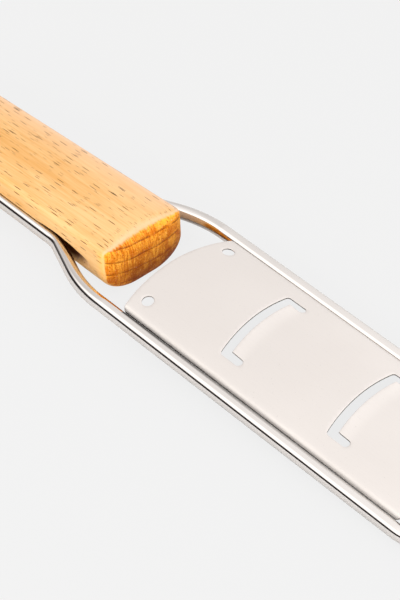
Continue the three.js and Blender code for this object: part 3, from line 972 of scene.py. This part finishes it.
def tongue_lift(x, y, rears):
    """Rise of the sheet at a point: each tongue climbs from its root to its cutting edge."""
    plate = settings().plate
    if abs(y) > plate.slot_span / 2 - plate.arm_width / 2:
        return 0.0
    for rear in rears:
        root = rear + slot_curve(y) + plate.arm_length
        edge = rear + slot_curve(y) + plate.slot_gap
        if edge - plate.slot_gap / 2 < x < root:
            return plate.tongue_lift * min(1.0, (root - x) / (root - edge)) ** 1.4
    return 0.0


def rolled_edge(y):
    """(y, drop) of the sheet at y: its long edges roll down and inwards, as a press leaves them."""
    plate = settings().plate
    past = max(0.0, abs(y) - (plate.width / 2 - plate.edge_roll)) / plate.edge_roll
    return y - math.copysign(plate.roll_inward * past**2, y), plate.roll_drop * past**2


def flat_sheet(layout):
    """The punched sheet before it is arched: its vertices, faces and how much painted shade each face gets.
    """
    plate = settings().plate
    rears = [plate.start + plate.slot_start + i * plate.slot_pitch for i in range(plate.slot_count)]
    hole_x = plate.start + plate.hole_inset
    loops = [plate_outline(layout)]
    loops += [slot_outline(rear) for rear in rears]
    loops += [hole_outline(hole_x, side * plate.hole_spacing / 2, plate.hole / 2) for side in (1, -1)]
    for i, loop in enumerate(loops):
        if (signed_area(loop) > 0) != (i == 0):
            loop.reverse()
    round_off = plate.rim_round
    normals = [outward_normals(loop) for loop in loops]
    inset = [np.array(loop) - n * round_off for loop, n in zip(loops, normals)]

    # Flat points inside, on a grid that keeps clear of every rim
    step_x, step_y = 1.3 * MM, 0.9 * MM
    xs = np.arange(plate.start, layout.plate_end, step_x)
    ys = np.arange(-plate.width / 2, plate.width / 2, step_y)
    grid = np.array([(x + (step_x / 2 if k % 2 else 0), y) for k, y in enumerate(ys) for x in xs])
    keep = inside(grid, inset[0])
    for loop in inset[1:]:
        keep &= ~inside(grid, loop)
    rim_points = np.concatenate(inset)
    grid = grid[keep]
    nearest = np.array([np.min(np.sum((rim_points - p) ** 2, axis=1)) for p in grid])
    grid = grid[nearest > (0.5 * MM) ** 2]

    points, edges, offset = [], [], 0
    for loop in inset:
        points += [Vector(p) for p in loop]
        edges += [(offset + i, offset + (i + 1) % len(loop)) for i in range(len(loop))]
        offset += len(loop)
    points += [Vector(p) for p in grid]
    flat, _, triangles, *_ = delaunay_2d_cdt(points, edges, [], 1, 1e-8)
    centres = np.array([np.mean([flat[i][:] for i in t], axis=0) for t in triangles])
    solid = np.ones(len(triangles), bool)
    for loop in inset[1:]:
        solid &= ~inside(centres, loop)
    triangles = [t for t, ok in zip(triangles, solid) if ok]

    count = len(flat)
    vertices = [(p.x, p.y, 0.0) for p in flat] + [(p.x, p.y, -plate.thickness) for p in flat]
    faces = [tuple(t) for t in triangles] + [tuple(i + count for i in reversed(t)) for t in triangles]
    # Painted shade on the underside near the long edges; the top faces get none
    margins = [plate.width / 2 - abs(sum(flat[i].y for i in t) / 3) for t in triangles]
    shades = [0.0] * len(triangles) + [max(0.0, 1 - margin / plate.seat_margin) for margin in margins]

    # The rim: a rounded edge above, a straight wall and a rounded edge below
    turns = np.linspace(0, math.pi / 2, RIM_POINTS)
    first_dark_row = 2
    profile = [(round_off * math.sin(a) - round_off, round_off * math.cos(a) - round_off) for a in turns]
    profile += [(out, -plate.thickness - z) for out, z in reversed(profile)]
    start = 0
    for order, (loop, normal) in enumerate(zip(loops, normals)):
        size = len(loop)
        rows = [[start + i for i in range(size)]]
        for out, z in profile[1:-1]:
            rows.append([len(vertices) + i for i in range(size)])
            vertices += [(p[0] + n[0] * out, p[1] + n[1] * out, z) for p, n in zip(loop, normal)]
        rows.append([count + start + i for i in range(size)])
        for level, (upper, lower) in enumerate(zip(rows, rows[1:])):
            # Painted shade on the outer rim's wall and lower rounding, for the shadowed gap over the wire
            wall = order == 0 and level >= first_dark_row
            for i in range(size):
                after = (i + 1) % size
                faces.append((upper[i], lower[i], lower[after], upper[after]))
                shades.append(painted_rim_shade(loop[i][0]) if wall else 0.0)
        start += size
    shaped = []
    for x, y, z in vertices:
        across, drop = rolled_edge(y)
        shaped.append((x, across, z + tongue_lift(x, y, rears) - drop))
    return shaped, faces, shades


def painted_rim_shade(x):
    """Painted shade on the outer rim, darkest at the handle's end of the plate."""
    plate = settings().plate
    return 1.0 - 0.35 * max(0.0, (x - plate.start) / plate.length)


def arch_press_tree():
    """Geometry Nodes: lifts a flat sheet to an arch across Y and tilts it by the droop."""
    floats = {name: "Float" for name in ("Arch Radius", "Edge Height", "Crown", "Droop")}
    nodes, source = geometry_tree("Arch Press", {**floats, "Shoulder": "Vector"})
    position = nodes.add("GeometryNodeInputPosition").outputs[0]
    apart = nodes.add("ShaderNodeSeparateXYZ", {0: position}).outputs
    radius, across = source["Arch Radius"], apart["Y"]
    square = nodes.math(
        "SUBTRACT", nodes.math("MULTIPLY", radius, radius), nodes.math("MULTIPLY", across, across)
    )
    crest = nodes.math("ADD", source["Edge Height"], source["Crown"])
    arch = nodes.math("ADD", nodes.math("SQRT", square), nodes.math("SUBTRACT", crest, radius))
    height = nodes.math("ADD", arch, apart["Z"])
    arched = nodes.add("ShaderNodeCombineXYZ", {"X": apart["X"], "Y": across, "Z": height}).outputs[0]
    tilted = nodes.add(
        "ShaderNodeVectorRotate", {"Vector": arched, "Angle": source["Droop"]}, rotation_type="Y_AXIS"
    ).outputs[0]
    shifted = nodes.add(
        "ShaderNodeVectorMath", {0: tilted, 1: source["Shoulder"]}, operation="ADD"
    ).outputs[0]
    placed = nodes.add("GeometryNodeSetPosition", {"Geometry": source["Geometry"], "Position": shifted})
    return end_tree(nodes, source, placed.outputs["Geometry"])


class SLICER_OT_plate(bpy.types.Operator):
    """Punch, lift and arch the slicing plate"""

    bl_idname = "slicer.plate"
    bl_label = "Slicing Plate"

    def execute(self, context):
        layout, plate = Layout(), settings().plate
        vertices, faces, shades = flat_sheet(layout)
        sheet = mesh_object("flat_sheet", vertices, faces)
        write_attribute(sheet, "painted_plate_shade", "FACE", shades)
        smooth(sheet)
        run_tree(
            sheet, arch_press_tree(),
            {
                "Arch Radius": layout.arch_radius, "Edge Height": layout.plate_edge_z, "Crown": plate.crown,
                "Droop": layout.droop, "Shoulder": (layout.shoulder_x, 0.0, layout.wire_z),
                "Material": satin_plate_material(),
            },
        )
        declare(settle(sheet, "arched_plate"), "slicing_plate")
        return {"FINISHED"}


# ---- Studio ------------------------------------------------------------------------------------


def studio_world():
    """A pale room with a bright box high on the -Y side and a dark gap below it."""
    world = bpy.data.worlds.new("studio_room")
    bpy.context.scene.world = world
    world.use_nodes = True
    room = Nodes(world.node_tree)
    direction = room.add("ShaderNodeTexCoord").outputs["Generated"]
    apart = room.add("ShaderNodeSeparateXYZ", {0: direction}).outputs

    def band(low, low_end, high, high_end):
        """Directions between two heights, on the near side only."""
        upper = room.span(apart["Z"], high, high_end, 1.0, 0.0)
        level = room.math("MULTIPLY", room.span(apart["Z"], low, low_end), upper)
        return room.math("MULTIPLY", level, near_side)

    near_side = room.span(apart["Y"], -0.35, 0.05, 1.0, 0.0)
    wall = room.mix(
        room.span(apart["Z"], 0.25, 0.65), rgba((0.80, 0.78, 0.765)), rgba((0.82, 0.80, 0.785))
    )
    lifted = room.mix(room.span(apart["X"], -0.75, -0.25), wall, rgba((1.48, 1.465, 1.46)))
    boxed = room.mix(band(0.50, 0.56, 0.84, 0.90), lifted, rgba((1.75, 1.72, 1.67)))
    gapped = room.mix(band(0.04, 0.11, 0.42, 0.49), boxed, rgba((0.03, 0.025, 0.025)))
    background = room.tree.nodes["Background"]
    room.feed(background.inputs["Color"], gapped)
    room.feed(background.inputs["Strength"], 1.0)


def area_light(name, place, target, size, power):
    light = bpy.data.lights.new(name, "AREA")
    light.shape = "SQUARE"
    light.size = size
    light.energy = power
    lamp = bpy.data.objects.new(name, light)
    bpy.context.scene.collection.objects.link(lamp)
    lamp.location = place
    lamp.rotation_euler = (Vector(target) - Vector(place)).to_track_quat("-Z", "Y").to_euler()
    lamp.visible_glossy = False


def studio_camera():
    studio = settings().studio
    camera = bpy.data.cameras.new("studio_camera")
    camera.lens = studio.lens
    camera.sensor_width = 36.0
    camera.clip_start = 0.01
    holder = bpy.data.objects.new("studio_camera", camera)
    bpy.context.scene.collection.objects.link(holder)
    az, el = studio.azimuth, studio.elevation
    back = Vector((math.sin(az) * math.cos(el), -math.cos(az) * math.cos(el), math.sin(el)))
    level = Vector((math.cos(az), math.sin(az), 0.0))
    upright = back.cross(level)
    axes = Matrix((level, upright, back)).transposed()
    turned = axes @ Matrix.Rotation(studio.roll, 3, "Z")
    place = Vector(studio.target) + back * studio.distance
    holder.matrix_world = Matrix.Translation(place) @ turned.to_4x4()
    bpy.context.scene.camera = holder


def paper_floor(name, level, material):
    reach = 3.0
    corners = [(x * reach, y * reach, level) for x, y in ((-1, -1), (1, -1), (1, 1), (-1, 1))]
    floor = mesh_object(name, corners, [(0, 1, 2, 3)])
    floor.data.materials.append(material)
    return floor


class SLICER_OT_studio(bpy.types.Operator):
    """Lay the pale floor and set the soft light and the camera"""

    bl_idname = "slicer.studio"
    bl_label = "Studio"

    def execute(self, context):
        seen = paper_floor("studio_floor", -0.2 * MM, paper_material("seen_paper", 0.05, 0.945))
        seen.visible_diffuse = False
        seen.visible_glossy = False
        seen.visible_shadow = False
        lit = paper_floor("bounce_floor", -0.4 * MM, paper_material("bounce_paper", 0.68, 0.0))
        lit.visible_camera = False
        studio_world()
        area_light("softbox", (-0.15, -0.25, 0.9), (0.0, 0.0, 0.0), 0.8, 1.2)
        area_light("side_fill", (0.25, -0.85, 0.35), (-0.05, 0.0, 0.01), 0.6, 10.0)
        studio_camera()
        context.scene.view_settings.view_transform = "Standard"
        return {"FINISHED"}


# ---- Panel and registration --------------------------------------------------------------------


class SLICER_PT_panel(bpy.types.Panel):
    """Buttons and sizes of the hand slicer."""

    bl_idname = "SLICER_PT_panel"
    bl_label = "Hand Slicer"
    bl_space_type = "VIEW_3D"
    bl_region_type = "UI"
    bl_category = "Slicer"

    def draw(self, context):
        for operator in OPERATORS:
            self.layout.operator(operator.bl_idname)
        slicer = context.scene.hand_slicer
        for group in (slicer.handle, slicer.wire, slicer.plate, slicer.finish, slicer.studio):
            column = self.layout.column(align=True)
            for name in group.__annotations__:
                column.prop(group, name)


OPERATORS = (SLICER_OT_studio, SLICER_OT_handle, SLICER_OT_wire, SLICER_OT_plate)
GROUPS = (
    SLICER_PG_wire, SLICER_PG_handle, SLICER_PG_plate, SLICER_PG_finish, SLICER_PG_studio,
    SLICER_PG_settings,
)


def register():
    for entry in (*GROUPS, *OPERATORS, SLICER_PT_panel):
        bpy.utils.register_class(entry)
    bpy.types.Scene.hand_slicer = PointerProperty(type=SLICER_PG_settings)


def unregister():
    del bpy.types.Scene.hand_slicer
    for entry in reversed((*GROUPS, *OPERATORS, SLICER_PT_panel)):
        bpy.utils.unregister_class(entry)


def main():
    register()
    bpy.ops.slicer.studio()
    bpy.ops.slicer.handle()
    bpy.ops.slicer.wire()
    bpy.ops.slicer.plate()


if __name__ == "__main__":
    main()
